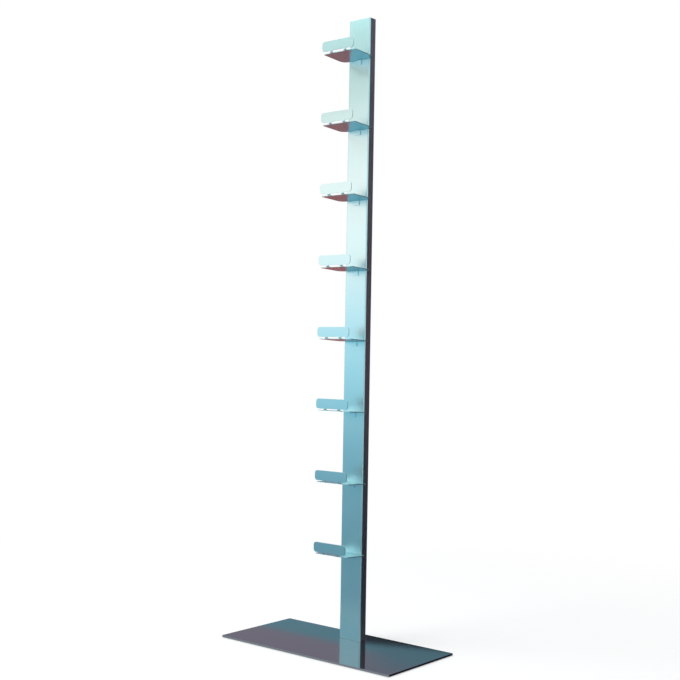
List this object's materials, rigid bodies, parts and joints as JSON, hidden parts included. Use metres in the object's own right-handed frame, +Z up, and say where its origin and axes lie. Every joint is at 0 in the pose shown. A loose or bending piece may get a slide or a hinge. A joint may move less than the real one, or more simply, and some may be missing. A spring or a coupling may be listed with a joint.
{
  "type": "cd storage tower",
  "caption": "Free-standing storage tower: a slim folded column on a flat base plate, with small lipped shelf trays hooked into its front, one above another, for rows of disc cases.",
  "frame": {"origin": "middle of the base's outline, on the floor", "axes": "+Z up, +X to the right as seen from the front, +Y to the rear; the tray lips face -Y"},
  "size_m": [0.62, 0.3, 1.8365],
  "materials": {
    "base_finish": "high gloss",
    "column_paint": "semi-gloss",
    "tray_paint": "semi-gloss",
    "fixing_steel": "plain",
    "pad_felt": "felt"
  },
  "bodies": {
    "root": {"base_plate": "base_finish", "floor_pads": "pad_felt", "column": "column_paint", "foot_block": "fixing_steel", "base_screws": "fixing_steel", "top_cap": "column_paint", "tray_1": "tray_paint", "tray_2": "tray_paint", "tray_3": "tray_paint", "tray_4": "tray_paint", "tray_5": "tray_paint", "tray_6": "tray_paint", "tray_7": "tray_paint", "tray_8": "tray_paint"}
  },
  "joints": []
}
